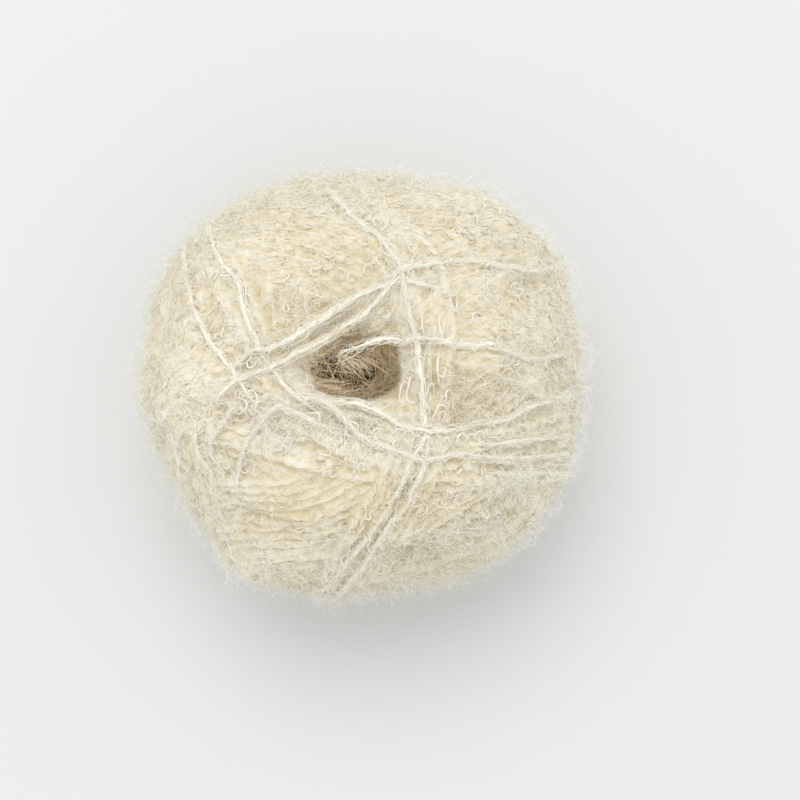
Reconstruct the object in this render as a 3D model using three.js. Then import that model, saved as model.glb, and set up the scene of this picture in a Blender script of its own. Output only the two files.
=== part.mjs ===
// A ball of boucle mohair yarn, wound on a spindle and slipped off it.
// Millimetres, +Z up along the winding axis. The origin is the middle of the
// ball's bounding box at the surface it rests on.
//
// The ball is one solid: a squashed round of wound yarn, out to the tips of its
// pile, with a small flat spot underneath and the hollow that the spindle left
// in its crown. Its sides are pulled a little square by the winding, and the
// last bands of turns stand proud of it as low, broad ridges. Each band runs in
// a plane through the ball's middle and passes the hollow at one side.

import * as THREE from 'three';
import { mergeVertices } from 'three/addons/utils/BufferGeometryUtils.js';

// ---- driving dimensions, in millimetres and degrees ----
const BALL_RADIUS = 51.2; // mean radius of the widest turn, before the lobes
const BALL_CENTRE_Z = 41; // height of the widest turn
const FLAT_RADIUS = 17; // the flat spot that it rests on
const CROWN_Z = 83.4; // the top of the rim around the hollow
const HOLLOW_DEPTH = 31; // from the rim down to the floor of the hollow
const SEGMENTS = 96; // facets round the ball
const ROWS = 52; // facets from the flat spot over the crown to the hollow's floor

// The hollow: its centre, its oval stretch and the turn of that oval.
const HOLLOW = { x: -2.4, y: -0.6, stretchX: 1.16, stretchY: 0.8, turnDeg: 6 };
const HOLLOW_REACH = 30; // distance from the axis at which the oval has faded out
const RIM_START = 9; // distance from the axis at which the rim begins
const RIM_WIDTH = 9; // how far the bands take to rise from the rim
const FOOT_FADE = 8; // height over which the bands rise from the flat spot

// Half a section through the ball: distance from the axis, and height.
const SECTION = [
  { name: 'flat spot middle', r: 0, z: 0 },
  { name: 'flat spot edge', r: FLAT_RADIUS, z: 0 },
  { name: 'foot', r: 25.5, z: 2.0 },
  { name: 'lower side', r: 35.2, z: 7.4 },
  { name: 'under the belly', r: 43.6, z: 16.2 },
  { name: 'belly', r: 49.2, z: 28.0 },
  { name: 'widest turn', r: BALL_RADIUS, z: BALL_CENTRE_Z },
  { name: 'shoulder', r: 49.4, z: 54.0 },
  { name: 'upper side', r: 44.0, z: 65.6 },
  { name: 'crown side', r: 35.6, z: 75.0 },
  { name: 'crown', r: 26.0, z: 81.2 },
  { name: 'rim top', r: 18.4, z: CROWN_Z },
  { name: 'rim', r: 13.2, z: CROWN_Z - 1.8 },
  { name: 'mouth', r: 10.2, z: CROWN_Z - 6.0 },
  { name: 'throat', r: 8.9, z: CROWN_Z - 13.0 },
  { name: 'hollow wall', r: 8.0, z: CROWN_Z - 21.0 },
  { name: 'hollow foot', r: 6.2, z: CROWN_Z - 28.2 },
  { name: 'hollow floor edge', r: 3.2, z: CROWN_Z - 30.6 },
  { name: 'hollow floor', r: 0, z: CROWN_Z - HOLLOW_DEPTH },
];

// How the outline seen from above leaves a circle: lobes round it, how far
// they stand out, and where the first one points.
const LOBES = [
  { lobes: 2, reach: 1.5, atDeg: 0 },
  { lobes: 4, reach: 1.25, atDeg: 43 },
  { lobes: 3, reach: 0.45, atDeg: 145 },
];

// The last bands of turns, the first wound first. toDeg is the side of the
// axis that the band passes on, and leanDeg is how far its plane leans from
// the axis there. half is half its width, and rise its height.
const BANDS = [
  { name: 'west shoulder', toDeg: 194, leanDeg: 50, half: 10.5, rise: 1.5 },
  { name: 'north shoulder', toDeg: 98, leanDeg: 47, half: 10.5, rise: 1.5 },
  { name: 'south shoulder', toDeg: 277, leanDeg: 41, half: 11.5, rise: 1.8 },
  { name: 'east shoulder', toDeg: 64, leanDeg: 29, half: 8.0, rise: 1.6 },
  { name: 'south west', toDeg: 222, leanDeg: 22, half: 7.0, rise: 1.6 },
  { name: 'north west', toDeg: 118, leanDeg: 20, half: 6.0, rise: 1.6 },
  { name: 'south east', toDeg: 280, leanDeg: 16, half: 6.0, rise: 1.6 },
  { name: 'east', toDeg: 358, leanDeg: 18, half: 6.5, rise: 2.0 },
];
const BAND_EDGE = 5; // how far a band takes to fall away at its side
const BAND_CROSSING = 0.35; // share of a covered band that still shows in the one over it

const rad = THREE.MathUtils.degToRad;
const ease = (t) => {
  const u = THREE.MathUtils.clamp(t, 0, 1);
  return u * u * (3 - 2 * u);
};

// The normal of a band's plane. It goes through the ball's middle.
for (const band of BANDS) {
  const to = rad(band.toDeg);
  const lean = rad(band.leanDeg);
  band.normal = new THREE.Vector3(
    Math.cos(to) * Math.cos(lean),
    Math.sin(to) * Math.cos(lean),
    -Math.sin(lean),
  );
}

// How far the bands lift the surface at a point, given from the ball's middle.
function bandRise(point) {
  const distance = point.length();
  let most = 0;
  let sum = 0;
  for (const band of BANDS) {
    const off = Math.asin(point.dot(band.normal) / distance) * distance;
    const rise = band.rise * ease((band.half + BAND_EDGE / 2 - Math.abs(off)) / BAND_EDGE);
    most = Math.max(most, rise);
    sum += rise;
  }
  return most + BAND_CROSSING * (sum - most);
}

// The section as points: the flat spot, then even steps along a smooth curve
// up the side, over the rim and down to the hollow's floor.
function sectionPoints() {
  const curve = new THREE.CatmullRomCurve3(
    SECTION.slice(1).map((s) => new THREE.Vector3(s.r, 0, s.z)),
    false,
    'centripetal',
  );
  const points = [new THREE.Vector2(0, 0), new THREE.Vector2(FLAT_RADIUS * 0.55, 0)];
  for (let i = 0; i <= ROWS - 2; i++) {
    const p = curve.getPointAt(i / (ROWS - 2));
    points.push(new THREE.Vector2(Math.max(p.x, 0), p.z));
  }
  points[points.length - 1].x = 0;
  return points;
}

// Moves a point of the round form to where it lies in the ball.
function shape(point) {
  const angle = Math.atan2(point.y, point.x);
  const round = Math.hypot(point.x, point.y);

  // the lobes, full at the widest turn and none near the axis
  let out = 0;
  for (const lobe of LOBES) {
    out += lobe.reach * Math.cos(lobe.lobes * (angle - rad(lobe.atDeg)));
  }
  const full = ease((round - FLAT_RADIUS) / (BALL_RADIUS - FLAT_RADIUS));
  const wide = 1 + (out * full) / BALL_RADIUS;
  point.x *= wide;
  point.y *= wide;

  // the bands, which fade out at the flat spot and at the rim of the hollow
  const from = new THREE.Vector3(point.x, point.y, point.z - BALL_CENTRE_Z);
  const rim = point.z > BALL_CENTRE_Z ? ease((round - RIM_START) / RIM_WIDTH) : 1;
  const lift = bandRise(from) * ease(point.z / FOOT_FADE) * rim;
  from.setLength(from.length() + lift);
  point.set(from.x, from.y, from.z + BALL_CENTRE_Z);

  // the oval of the hollow, which fades out over the crown
  if (point.z > BALL_CENTRE_Z) {
    const near = 1 - ease((round - RIM_START) / (HOLLOW_REACH - RIM_START));
    const turn = rad(HOLLOW.turnDeg);
    const u = point.x * Math.cos(turn) + point.y * Math.sin(turn);
    const v = -point.x * Math.sin(turn) + point.y * Math.cos(turn);
    const su = u * (1 + (HOLLOW.stretchX - 1) * near);
    const sv = v * (1 + (HOLLOW.stretchY - 1) * near);
    point.x = su * Math.cos(turn) - sv * Math.sin(turn) + HOLLOW.x * near;
    point.y = su * Math.sin(turn) + sv * Math.cos(turn) + HOLLOW.y * near;
  }
  return point;
}

function yarnBall() {
  const section = sectionPoints();
  const lathe = new THREE.LatheGeometry(section, SEGMENTS);
  lathe.deleteAttribute('normal');
  lathe.deleteAttribute('uv');
  lathe.rotateX(Math.PI / 2);
  const form = mergeVertices(lathe, 1e-4);

  const position = form.getAttribute('position');
  const point = new THREE.Vector3();
  for (let i = 0; i < position.count; i++) {
    point.fromBufferAttribute(position, i);
    shape(point);
    position.setXYZ(i, point.x, point.y, point.z);
  }

  // the ball's box is centred on the axes, and it rests at height 0
  form.computeBoundingBox();
  const box = form.boundingBox;
  form.translate(-(box.min.x + box.max.x) / 2, -(box.min.y + box.max.y) / 2, -box.min.z);
  form.computeVertexNormals();
  return form;
}

const wool = new THREE.MeshStandardMaterial({
  color: new THREE.Color().setRGB(0.86, 0.83, 0.74),
  roughness: 0.95,
  metalness: 0,
});

const ball = new THREE.Mesh(yarnBall(), wool);
ball.name = 'yarn_ball';

const object = new THREE.Group();
object.name = 'ball of boucle mohair yarn';
object.add(ball);

export default object;
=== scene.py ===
# A ball of boucle mohair yarn: its wound turns, boucle loops and pile, made as meshes
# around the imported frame. Lengths are in millimetres until a mesh is made.
import math

import bpy
import numpy as np
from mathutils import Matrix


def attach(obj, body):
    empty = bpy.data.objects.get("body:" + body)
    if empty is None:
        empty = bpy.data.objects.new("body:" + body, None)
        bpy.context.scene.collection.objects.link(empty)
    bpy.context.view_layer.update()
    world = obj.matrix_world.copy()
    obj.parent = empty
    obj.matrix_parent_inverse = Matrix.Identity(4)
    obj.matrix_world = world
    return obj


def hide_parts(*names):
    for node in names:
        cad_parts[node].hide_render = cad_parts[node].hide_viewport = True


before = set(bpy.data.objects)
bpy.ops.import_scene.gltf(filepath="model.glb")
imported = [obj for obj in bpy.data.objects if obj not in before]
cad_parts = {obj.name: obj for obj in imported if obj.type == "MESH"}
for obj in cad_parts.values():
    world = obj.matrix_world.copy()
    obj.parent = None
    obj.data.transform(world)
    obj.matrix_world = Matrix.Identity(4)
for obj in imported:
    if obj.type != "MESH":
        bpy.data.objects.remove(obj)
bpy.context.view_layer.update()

MM = 0.001
TAU = 2 * math.pi

# ------------------------------------------------------------------ the camera
PHOTO = 800  # the photograph's side, in pixels
ELEVATION = 85.0  # degrees above the horizon
DISTANCE = 420.0  # from the ball's middle
FOCAL = 81.1
SENSOR = 36.0
BALL_PX = (366.0, 387.0)  # where the ball's middle lies in the photograph

# ------------------------------------------------------------------ the form
# The ball's middle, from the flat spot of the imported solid.
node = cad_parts["yarn_ball"]
co = np.zeros(len(node.data.vertices) * 3)
node.data.vertices.foreach_get("co", co)
co = co.reshape(-1, 3) / MM
flat = co[co[:, 2] < 1e-3]
CENTRE = np.array([*(flat[:, :2].min(0) + flat[:, :2].max(0)) / 2, 41.0])
BALL_RADIUS = 51.2
FLAT_RADIUS = 17.0
CROWN_Z = 83.4

# Half a section through the ball, with the crown closed over the hollow: distance from the axis, height.
SECTION = [
    (17.0, 0.0), (25.5, 2.0), (35.2, 7.4), (43.6, 16.2), (49.2, 28.0), (51.2, 41.0), (49.4, 54.0),
    (44.0, 65.6), (35.6, 75.0), (26.0, 81.2), (18.4, 83.4), (12.0, 82.8), (6.0, 82.0), (0.0, 81.8),
]
# The hollow, from its rim to its floor.
HOLLOW = [
    (18.4, 83.4), (13.2, 81.6), (10.2, 77.4), (8.9, 70.4), (8.0, 62.4), (6.2, 55.2), (3.2, 52.8), (0.0, 52.4),
]
HOLLOW_X, HOLLOW_Y, STRETCH_X, STRETCH_Y, HOLLOW_TURN = -2.4, -0.6, 1.16, 0.8, math.radians(6)
RIM_START, HOLLOW_REACH = 9.0, 30.0
LOBES = [(2, 1.5, 0.0), (4, 1.25, 43.0), (3, 0.45, 145.0)]  # how many, how far out, where the first points


def rng(seed):
    return np.random.default_rng(seed)


def unit(v):
    return v / np.maximum(np.linalg.norm(v, axis=-1, keepdims=True), 1e-12)


def ease(t):
    t = np.clip(t, 0, 1)
    return t * t * (3 - 2 * t)


def smooth_curve(points, steps):
    """A centripetal curve through points, as rows of coordinates, with steps points from each to the next."""
    p = np.asarray(points, float)
    p = np.vstack([2 * p[0] - p[1], p, 2 * p[-1] - p[-2]])
    out = []
    for i in range(1, len(p) - 2):
        a, b, c, d = p[i - 1 : i + 3]
        t0 = 0.0
        t1 = t0 + math.sqrt(max(np.linalg.norm(b - a), 1e-6))
        t2 = t1 + math.sqrt(max(np.linalg.norm(c - b), 1e-6))
        t3 = t2 + math.sqrt(max(np.linalg.norm(d - c), 1e-6))
        t = np.linspace(t1, t2, steps, endpoint=False)[:, None]
        a1 = (t1 - t) / (t1 - t0) * a + (t - t0) / (t1 - t0) * b
        a2 = (t2 - t) / (t2 - t1) * b + (t - t1) / (t2 - t1) * c
        a3 = (t3 - t) / (t3 - t2) * c + (t - t2) / (t3 - t2) * d
        b1 = (t2 - t) / (t2 - t0) * a1 + (t - t0) / (t2 - t0) * a2
        b2 = (t3 - t) / (t3 - t1) * a2 + (t - t1) / (t3 - t1) * a3
        out.append((t2 - t) / (t2 - t1) * b1 + (t - t1) / (t2 - t1) * b2)
    return np.vstack(out + [p[-2][None]])


_sec = np.vstack([[(17.0 * k / 12, 0.0) for k in range(12)], smooth_curve(SECTION, 12)])
_theta = np.arctan2(_sec[:, 0], _sec[:, 1] - CENTRE[2])
_rho = np.hypot(_sec[:, 0], _sec[:, 1] - CENTRE[2])
_order = np.argsort(_theta)
_theta, _rho = _theta[_order], _rho[_order]


# The opening between the strands: its middle, and how far its edge lies from there every 15 degrees round.
OPEN_X, OPEN_Y = -2.4, -0.3
OPEN_REACH = [9.8, 8.6, 7.4, 6.9, 7.4, 8.3, 8.6, 7.7, 6.9, 6.7, 7.6, 9.4, 10.2, 9.4, 8.1, 6.7, 6.0, 5.9, 6.1, 6.3, 6.5, 7.1, 8.5, 9.6]
DIP = 3.4  # how far the surface sinks at its edge
# How far the outline seen from above lies outside the lobes, every 20 degrees round from +X.
OUTLINE = [-2.5, -3.4, -0.2, 1.6, 1.8, -4.1, -0.1, -1.6, -0.5, 0.6, -1.3, -2.1, 1.8, -1.4, -2.6, -1.7, -1.5, -2.9]


def round_table(table, azimuth):
    """The value of a table given at even steps all round, at azimuths in radians."""
    x = azimuth / TAU * len(table) % len(table)
    i = np.floor(x).astype(int)
    f = x - i
    f = f * f * (3 - 2 * f)
    v = np.array(table)
    return v[i % len(v)] * (1 - f) + v[(i + 1) % len(v)] * f


def round_hole(d):
    """How far directions d lie from the middle of the opening, 1 at its edge."""
    z = np.maximum(d[..., 2], 0.35)
    x = d[..., 0] / z * 41.5 - OPEN_X
    y = d[..., 1] / z * 41.5 - OPEN_Y
    return np.hypot(x, y) / round_table(OPEN_REACH, np.arctan2(y, x))


def form_radius(d):
    """How far the ball reaches from its middle in unit directions d, with the crown closed over the hollow but for a dip."""
    horizontal = np.hypot(d[..., 0], d[..., 1])
    base = np.interp(np.arctan2(horizontal, d[..., 2]), _theta, _rho)
    azimuth = np.arctan2(d[..., 1], d[..., 0])
    out = sum(reach * np.cos(n * (azimuth - math.radians(at))) for n, reach, at in LOBES)
    wide = 1 + out * ease((base * horizontal - FLAT_RADIUS) / (BALL_RADIUS - FLAT_RADIUS)) / BALL_RADIUS
    dip = DIP * (1 - ease((round_hole(d) - 0.85) / 0.8))
    side = round_table(OUTLINE, azimuth) * ease((0.9 - np.abs(d[..., 2])) / 0.4)
    return base * np.sqrt((wide * horizontal) ** 2 + d[..., 2] ** 2) - dip + side


# ------------------------------------------------------------------ the winding
GRID = 280  # cells across each face of the height map, a cube around the ball
INSET = 8.2  # how deep under the form the layers are counted from
FILLED = 2.4  # how high over that the layers reach at least
RISE = 0.45  # from a strand's middle to its top, pressed
PRESS = 0.34  # from what it lies on to a strand's middle
heights = np.full(6 * GRID * GRID, FILLED)


def cells(d):
    """Height map cells of directions d."""
    a = np.abs(d)
    axis = a.argmax(-1)
    major = np.take_along_axis(d, axis[..., None], -1)[..., 0]
    u = np.take_along_axis(d, ((axis + 1) % 3)[..., None], -1)[..., 0] / np.abs(major)
    v = np.take_along_axis(d, ((axis + 2) % 3)[..., None], -1)[..., 0] / np.abs(major)
    i = ((np.arctan(u) * 4 / math.pi + 1) / 2 * GRID).astype(int).clip(0, GRID - 1)
    j = ((np.arctan(v) * 4 / math.pi + 1) / 2 * GRID).astype(int).clip(0, GRID - 1)
    return ((axis * 2 + (major > 0)) * GRID + i) * GRID + j


def along(d, closed):
    """Unit tangents along directions d, and the unit vectors across them on the surface."""
    if closed:
        t = np.roll(d, -1, 0) - np.roll(d, 1, 0)
    else:
        t = np.gradient(d, axis=0)
    t = unit(t - (t * d).sum(-1, keepdims=True) * d)
    return t, np.cross(d, t)


def blurred(h, sigma, closed):
    """h smoothed along a strand by sigma samples."""
    reach = int(3 * sigma) + 1
    k = np.exp(-0.5 * (np.arange(-reach, reach + 1) / sigma) ** 2)
    mode = "wrap" if closed else "edge"
    padded = np.pad(h, reach, mode=mode)
    return np.convolve(padded, k / k.sum(), "valid")


def drift(r, s, length, lo, hi):
    """A number that wanders between lo and hi along s, over about length."""
    n = int(s[-1] / length) + 4
    knots = r.uniform(0, 1, n)
    x = s / length
    i = x.astype(int)
    f = ease(x - i)
    return lo + (hi - lo) * (knots[i] * (1 - f) + knots[i + 1] * f)


strands = []  # each: unit directions, height over the inset form, closed, kind, how curly, how thick


def lay(paths, closed, kind="turn", lift=0.0, press=PRESS, loft=1.0, curl=1.0, sink=0.0, taut=3.5):
    """Lays strands side by side over what is wound so far. paths are arrays of unit directions."""
    laid = []
    for d in paths:
        t, b = along(d, closed)
        step = np.linalg.norm(np.diff(d, axis=0), axis=1).mean() * 48
        ground = form_radius(d) - INSET
        under = np.zeros(len(d))
        for off in (-0.5, -0.25, 0.0, 0.25, 0.5):
            under = np.maximum(under, heights[cells(unit(d + b * off / 48))])
        under = under + ground
        h = under + press
        for sigma in (taut, taut * 0.6, taut * 0.35, 0.8):  # taut over the dips, then let down onto the humps
            h = np.maximum(under + press * 0.6, blurred(h, sigma / step, closed))
        h = blurred(h, 0.6 / step, closed)
        inside = round_hole(d) < 1.8
        if kind == "line" and inside.any():
            at = np.arange(len(d))
            rim = np.interp(at, at[~inside], h[~inside])
            h = np.where(inside, np.maximum(h, rim - 0.9 * (1.8 - round_hole(d))), h)
        h = h + lift - ground
        if sink > 0:  # the two ends go down between the turns
            n = len(d)
            from_end = np.minimum(np.arange(n), np.arange(n)[::-1]) * step
            h = h - sink * (1 - ease(from_end / 5.0))
        laid.append((d, t, b, h))
    for d, t, b, h in laid:
        # thick and thin along its way
        r = rng(20000 + len(strands))
        s = np.arange(len(d)) * np.linalg.norm(np.diff(d, axis=0), axis=1).mean() * 48
        slub = drift(r, s, 1.5, 0.0, 1.0) ** 1.3 if kind == "turn" else np.full(len(d), 0.4)
        wide, top = 0.52 + 0.42 * slub, (0.26 + 0.46 * slub) * loft
        aside = curl * drift(r, s, 1.3, -0.4, 0.4) if kind == "turn" else 0 * s
        for off in np.arange(-4, 5) * 0.23:
            bulge = top * np.sqrt(np.maximum(1 - ((off - aside) / wide) ** 2, 0.0))
            on = bulge > 0
            for ahead in (-0.25, 0.0, 0.25):
                c = cells(unit(d + b * off / 48 + t * ahead / 48))
                np.maximum.at(heights, c[on], (h + bulge)[on])
        strands.append({"d": d, "h": h, "closed": closed, "kind": kind, "curl": curl, "slub": slub})


def plane_path(to, top, bottom, shift, seed, samples=560, waver=0.35):
    """The closed turn where a plane cuts the ball. It passes the axis at top over the crown and at bottom under the foot, on the side to, and lies shift to one side of its band."""
    r = rng(seed)
    to = math.radians(to)
    run = math.hypot(top - bottom, 80.0)
    n = np.array([math.cos(to) * 80 / run, math.sin(to) * 80 / run, -(top - bottom) / run])
    off = (80 / run) * top - (top - bottom) / run * 41 + shift
    e1 = np.array([-math.sin(to), math.cos(to), 0.0])
    e2 = np.cross(n, e1)
    phi = np.arange(samples) * TAU / samples
    w = np.zeros(samples)
    for k in range(2, 15):
        w += r.normal() * np.cos(k * phi + r.uniform(0, TAU)) / k**0.7
    off = off + waver * w / 1.6
    ring = np.cos(phi)[:, None] * e1 + np.sin(phi)[:, None] * e2
    d = unit(ring)
    for _ in range(6):
        radius = form_radius(d) - 1.5
        rho = np.sqrt(np.maximum(radius**2 - off**2, 25.0))
        d = unit(off[:, None] * n + rho[:, None] * ring)
    return d


def wind_band(to, top, bottom, loops, pitch, seed, kind="turn", fan=0.0, waver=0.35, curl=1.0):
    r = rng(seed)
    paths = []
    for k in range(loops):
        s = (k - (loops - 1) / 2) * pitch + r.normal() * 0.12
        paths.append(plane_path(to + fan * (k - (loops - 1) / 2), top, bottom, s, seed * 97 + k, waver=waver))
    lay(paths, True, kind, curl=curl)


# ------------------------------------------------------------------ the photograph's turns
elev = math.radians(ELEVATION)
BACK = np.array([0.0, -math.cos(elev), math.sin(elev)])  # from the ball to the camera
UP = np.array([0.0, math.sin(elev), math.cos(elev)])
RIGHT = np.array([1.0, 0.0, 0.0])
PX = SENSOR / FOCAL * DISTANCE / PHOTO  # millimetres per pixel at the ball's middle
AIM = CENTRE * [0, 0, 1] + RIGHT * (PHOTO / 2 - BALL_PX[0]) * PX - UP * (PHOTO / 2 - BALL_PX[1]) * PX
EYE = AIM + BACK * DISTANCE


def on_ball(px, lift=-1.0):
    """Unit directions, from the ball's middle, of photograph points px on its near side."""
    px = np.asarray(px, float)
    ray = unit(
        RIGHT * (px[:, :1] - PHOTO / 2) * PX + UP * (PHOTO / 2 - px[:, 1:2]) * PX - BACK * DISTANCE
    )
    from_eye = EYE - CENTRE
    b = (ray * from_eye).sum(-1)
    radius = np.full(len(px), 48.0)
    for _ in range(12):
        disc = np.maximum(b**2 - (from_eye @ from_eye - radius**2), 0.0)
        hit = from_eye + ray * (-b - np.sqrt(disc))[:, None]
        radius = form_radius(unit(hit)) + lift
    return unit(hit)


def resample(d, step=0.5):
    """Directions d at even steps, in millimetres on the ball."""
    s = np.concatenate([[0], np.cumsum(np.linalg.norm(np.diff(d, axis=0), axis=1))]) * 48
    n = max(int(s[-1] / step), 8)
    at = np.linspace(0, s[-1], n + 1)
    return unit(np.stack([np.interp(at, s, d[:, k]) for k in range(3)], 1))


def carried_on(d, before, after, turn_before=0.0, turn_after=0.0, step=0.5):
    """d, carried on past its two ends over the ball's side for so many millimetres, turning aside by so many degrees."""
    def ahead(p, q, length, turn):
        t = unit((q - p) - ((q - p) @ q) * q)
        out = []
        n = max(int(length / step), 1)
        for _ in range(n):
            q2 = unit(q + t * step / 48)
            t = unit(t - (t @ q2) * q2)
            side = np.cross(q2, t)
            a = math.radians(turn) / n
            t = unit(t * math.cos(a) + side * math.sin(a))
            out.append(q2)
            q = q2
        return np.array(out)

    parts = [d]
    if after > 0:
        parts.append(ahead(d[-4], d[-1], after, turn_after))
    if before > 0:
        parts.insert(0, ahead(d[3], d[0], before, turn_before)[::-1])
    return np.vstack(parts)


def guide_band(px, count, pitch, seed, first=None, before=75.0, after=75.0, waver=0.3, kind="turn", **how):
    """count turns side by side along a curve through photograph points."""
    r = rng(seed)
    d = carried_on(resample(on_ball(smooth_curve(px, 10))), before, after)
    t, b = along(d, False)
    s = np.arange(len(d)) * 0.5
    paths = []
    first = -(count - 1) / 2 * pitch if first is None else first
    for k in range(count):
        w = np.zeros(len(d))
        for wave in (9.0, 16.0, 31.0, 57.0):
            w += r.normal() * np.sin(TAU * s / wave + r.uniform(0, TAU)) * (wave / 30) ** 0.5
        off = first + k * pitch + r.normal() * 0.1 + waver * w * 0.7
        path = resample(unit(d + b * (off / 48)[:, None]))
        cut = r.integers(0, 30, 2) if before > 20 else (0, 0)
        paths.append(path[cut[0] : len(path) - cut[1]])
    lay(paths, False, kind, sink=1.6, **how)


# Turns all round, in bands. to is the side on which a band passes the axis, top and bottom how far from it.
golden = 137.508
for k in range(6):  # the deepest ones, well away from the axis
    wind_band(40 + k * golden, 34 + 5 * (k % 3), -30 + 4 * (k % 4), 13, 1.85, 10 + k)
for k in range(5):  # level bands that round the belly
    wind_band(15 + k * golden, 92 - 12 * (k % 3), -62 - 10 * (k % 2), 13, 1.8, 30 + k)
for k in range(8):  # steep bands past the hollow, some over the foot
    wind_band(75 + k * golden, 21 + 3.0 * (k % 3), (-17, 3, -8)[k % 3], 9, 1.8, 50 + k, fan=0.4)
for k in range(6):
    wind_band(200 + k * golden, 31 + 6 * (k % 3), -26 - 5 * (k % 2), 8, 1.8, 70 + k, fan=-0.3)

# The last turns, along curves seen in the photograph.
guide_band([(150, 330), (158, 280), (182, 235), (222, 203), (275, 186), (335, 182), (400, 186)], 7, 1.75, 101, first=-3.0)
guide_band([(196, 250), (186, 300), (184, 360), (192, 420), (214, 475)], 8, 1.75, 102)
guide_band([(395, 520), (440, 527), (485, 542), (525, 562)], 9, 1.75, 103, curl=0.8)
guide_band([(190, 520), (240, 532), (290, 532), (340, 518), (390, 497), (440, 470)], 13, 2.05, 104, curl=0.4)
guide_band([(225, 310), (250, 268), (290, 240), (335, 224), (390, 216)], 9, 1.8, 105)
guide_band([(395, 268), (445, 292), (500, 322), (548, 352), (585, 388)], 15, 1.75, 106, curl=0.6)
guide_band([(375, 452), (430, 462), (490, 458), (560, 440)], 8, 1.75, 107, curl=0.7)
guide_band([(250, 392), (290, 408), (330, 428), (372, 447), (425, 457)], 6, 1.7, 110, before=30, after=30)
guide_band([(230, 352), (290, 330), (345, 306), (400, 278)], 6, 1.8, 108, first=-7.0)
guide_band([(232, 290), (248, 330), (268, 368), (292, 400), (326, 425)], 4, 1.7, 111, before=30, after=20)
guide_band([(320, 322), (301, 340), (294, 366), (304, 391), (330, 406), (362, 413), (392, 410)], 3, 1.4, 112, before=10, after=10)
guide_band([(345, 205), (388, 235), (412, 268), (426, 308), (431, 350), (431, 395), (424, 440), (402, 490), (368, 540), (340, 588)], 7, 1.75, 109)
top_of_turns = heights.copy()

# Single strands that stand out in the photograph: its points, radius, how wide it twists, how far it goes on at both ends.
LINES = [
    ([(191, 254), (198, 302), (210, 336), (234, 369), (246, 388)], 0.30, 0.16, 8, 6),
    ([(216, 236), (228, 267), (243, 287), (243, 305), (251, 331), (262, 357), (282, 384), (300, 400)], 0.38, 0.2, 8, 4),
    ([(237, 366), (252, 350), (266, 348), (314, 325), (352, 298), (370, 287), (400, 281), (425, 284)], 0.44, 0.24, 3, 5),
    ([(228, 392), (237, 382), (263, 370), (321, 347), (337, 339), (360, 320), (369, 307), (391, 285), (405, 270)], 0.40, 0.22, 5, 6),
    ([(338, 212), (360, 226), (378, 236), (391, 252), (398, 264), (407, 298), (413, 321), (419, 340), (424, 381), (427, 420), (426, 460), (413, 486), (406, 503), (386, 523), (360, 561), (341, 584)], 0.40, 0.26, 10, 12),
    ([(424, 440), (410, 462), (403, 480), (386, 508), (360, 541), (335, 570)], 0.28, 0.15, 4, 12),
    ([(331, 357), (345, 352), (360, 347), (378, 340), (395, 336), (411, 337), (446, 337), (458, 342), (487, 344)], 0.45, 0.5, 0, 5),
    ([(505, 354), (521, 360), (533, 360), (550, 357)], 0.28, 0.15, 5, 6),
    ([(410, 270), (429, 266), (458, 264), (487, 266), (505, 269), (528, 275), (544, 273)], 0.32, 0.2, 6, 8),
    ([(298, 397), (326, 401), (348, 403), (360, 404), (387, 417), (406, 428), (429, 431), (459, 431), (479, 425), (504, 419), (524, 407), (541, 401), (564, 393)], 0.38, 0.2, 3, 12),
    ([(307, 395), (327, 402), (348, 422), (360, 437), (380, 446), (406, 454), (426, 459), (452, 453), (500, 455), (541, 452)], 0.34, 0.2, 2, 12),
    ([(240, 402), (232, 414), (220, 434), (216, 450), (222, 465)], 0.17, 0.16, 2, 2),
    ([(212, 418), (206, 434), (207, 452), (213, 464)], 0.15, 0.14, 2, 2),
    ([(195, 426), (188, 440), (186, 455), (192, 465)], 0.15, 0.14, 2, 2),
    ([(275, 408), (265, 419), (249, 443), (243, 465), (242, 477)], 0.18, 0.16, 2, 4),
    ([(265, 419), (268, 434), (277, 440), (288, 441)], 0.19, 0.15, 0, 2),
    ([(268, 414), (283, 408), (298, 414), (318, 424)], 0.2, 0.16, 1, 3),
    ([(487, 443), (515, 438), (547, 434)], 0.22, 0.14, 4, 8),
    ([(495, 471), (520, 469), (551, 468)], 0.2, 0.14, 4, 8),
    ([(291, 404), (279, 406), (270, 413), (266, 424), (270, 435), (281, 441), (291, 439)], 0.24, 0.32, 0, 0),
]
for px, radius, twist, before, after in LINES:
    path = carried_on(resample(on_ball(smooth_curve(px, 8), -0.3)), before, after)
    lay([path], False, "line", press=0.42, sink=2.4 if px[0] == (331, 357) else 1.2, taut=9.0)
    strands[-1].update(radius=radius, twist=twist)
print("strands", len(strands), "height", np.percentile(heights, [0, 5, 50, 95, 100]).round(2))


# ------------------------------------------------------------------ making meshes
def place(d, h):
    """Points at height h over the inset form, in directions d."""
    return CENTRE + d * (form_radius(d) - INSET + h)[..., None]


def around(d, reach, count, level=None):
    """The heights in a ring about each of directions d, reach millimetres away."""
    level = heights if level is None else level
    t = unit(np.cross([0.31, 0.17, 0.94], d))
    b = np.cross(d, t)
    return np.stack([level[cells(unit(d + (t * math.cos(a) + b * math.sin(a)) * reach / 48))] for a in np.arange(count) * TAU / count])


def surface(d, level=None):
    """The height of the outermost strands, evened out over a strand's width."""
    level = top_of_turns if level is None else level
    return (level[cells(d)] * 2 + around(d, 0.5, 6, level).sum(0)) / 8


def broad(d):
    """The height of the outermost strands, evened out over several strands."""
    return (around(d, 2.0, 6, top_of_turns).sum(0) + around(d, 4.0, 8, top_of_turns).sum(0) + around(d, 6.5, 10, top_of_turns).sum(0)) / 24


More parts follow.
